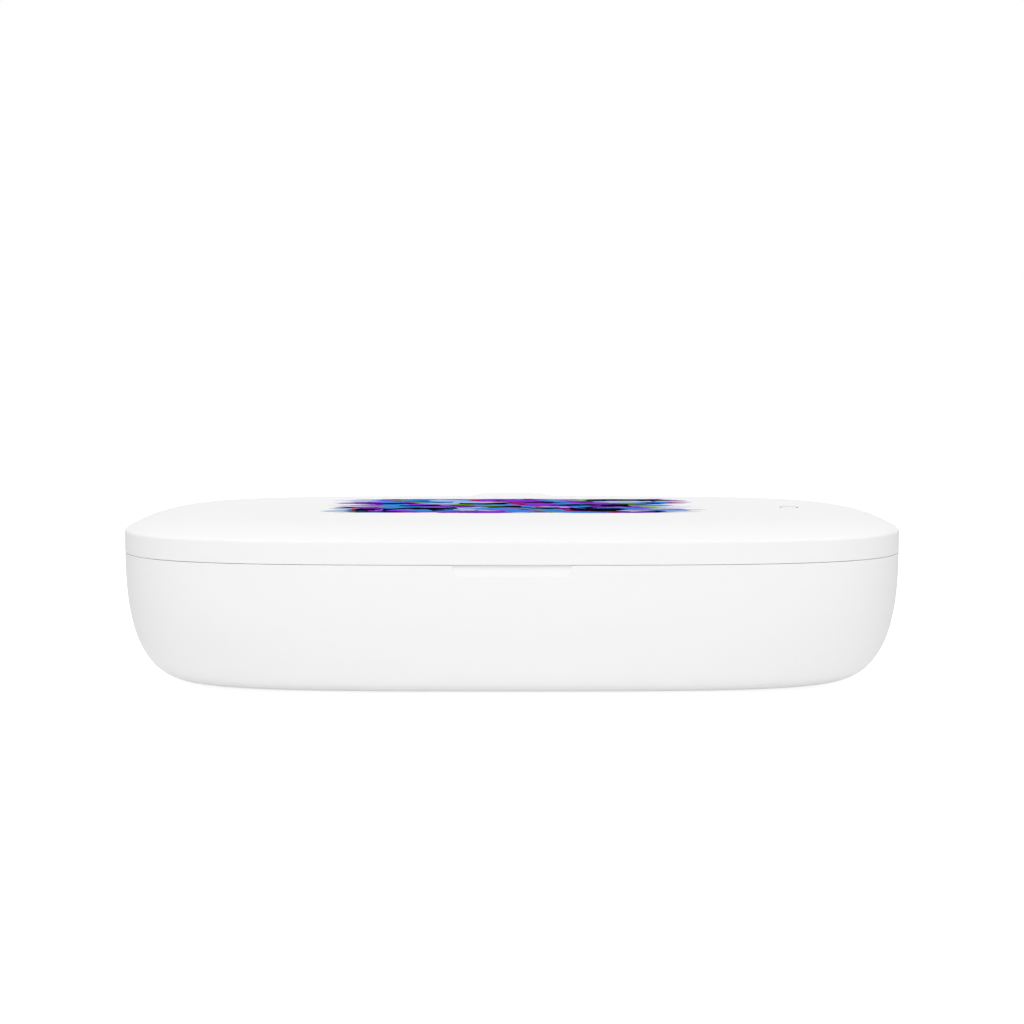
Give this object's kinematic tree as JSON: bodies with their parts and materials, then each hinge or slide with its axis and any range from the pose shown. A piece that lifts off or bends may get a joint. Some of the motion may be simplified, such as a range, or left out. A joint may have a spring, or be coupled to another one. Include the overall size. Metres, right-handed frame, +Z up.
{
  "type": "uv sanitizer box for phones",
  "caption": "Soft white oblong box with a low domed lid on a rear hinge, a mirrored tray with rails for a phone, ultraviolet lamps in the lid and a small push button.",
  "frame": {"origin": "on the surface that the feet stand on, under the middle of the overall width and depth", "axes": "+X to the right seen from the front, +Y to the rear where the hinge is, +Z up"},
  "size_m": [0.215, 0.1216, 0.0474],
  "materials": {
    "shell_white": "white, fine satin",
    "liner_plastic": "pale grey, satin",
    "mirror_sheet": "polished reflective sheet",
    "screw_steel": "plain",
    "pin_steel": "ground",
    "magnet_nickel": "nickel plated",
    "gasket_silicone": "matte grey",
    "rail_silicone": "translucent white, matte",
    "foot_rubber": "matte dark grey",
    "board_green": "green solder mask",
    "chip_black": "matte black",
    "lamp_ceramic": "off-white package",
    "lamp_window": "clear quartz",
    "socket_steel": "drawn sheet",
    "coil_copper": "varnished copper wire, wound flat",
    "ferrite": "matte dark grey",
    "lead_sleeve": "red sleeve"
  },
  "bodies": {
    "base": {"base_shell": "shell_white", "chamber_tray": "liner_plastic", "floor_reflector": "mirror_sheet", "hinge_pin": "pin_steel", "base_magnet_left": "magnet_nickel", "base_magnet_right": "magnet_nickel", "phone_rail_1": "rail_silicone", "phone_rail_2": "rail_silicone", "phone_rail_3": "rail_silicone", "phone_rail_4": "rail_silicone", "foot_front_left": "foot_rubber", "base_screw_front_left": "screw_steel", "foot_front_right": "foot_rubber", "base_screw_front_right": "screw_steel", "foot_rear_left": "foot_rubber", "base_screw_rear_left": "screw_steel", "foot_rear_right": "foot_rubber", "base_screw_rear_right": "screw_steel"},
    "lid": {"lid_shell": "shell_white", "lid_inner_panel": "liner_plastic", "lid_gasket": "gasket_silicone", "main_board": "board_green", "charging_board": "board_green", "controller_chip": "chip_black", "charger_chip": "chip_black", "socket_shell": "socket_steel", "socket_tongue": "chip_black", "charging_coil": "coil_copper", "ferrite_plate": "ferrite", "switch_body": "chip_black", "lead_main_to_lamps": "lead_sleeve", "lead_between_lamps": "lead_sleeve", "lead_main_to_charger": "lead_sleeve", "lead_charger_to_coil": "lead_sleeve", "lid_magnet_left": "magnet_nickel", "lamp_board_left": "board_green", "lamp_window_left": "lamp_window", "uv_lamp_left_1": "lamp_ceramic", "uv_lamp_left_2": "lamp_ceramic", "lid_magnet_right": "magnet_nickel", "lamp_board_right": "board_green", "lamp_window_right": "lamp_window", "uv_lamp_right_1": "lamp_ceramic", "uv_lamp_right_2": "lamp_ceramic", "lid_screw_front_left": "screw_steel", "lid_screw_front_right": "screw_steel", "lid_screw_rear_left": "screw_steel", "lid_screw_rear_right": "screw_steel"},
    "button": {"power_button": "shell_white", "switch_stem": "rail_silicone"}
  },
  "joints": [
    {"name": "lid_hinge", "type": "hinge", "parent": "base", "child": "lid", "pos_m": [0, 0.05675, 0.04295], "axis": [-1, 0, 0], "range_deg": [0, 100]},
    {"name": "button_press", "type": "slide", "parent": "lid", "child": "button", "axis": [0, 0, -1], "range_m": [0, 0.0004], "stiffness_N_per_m": 200}
  ]
}
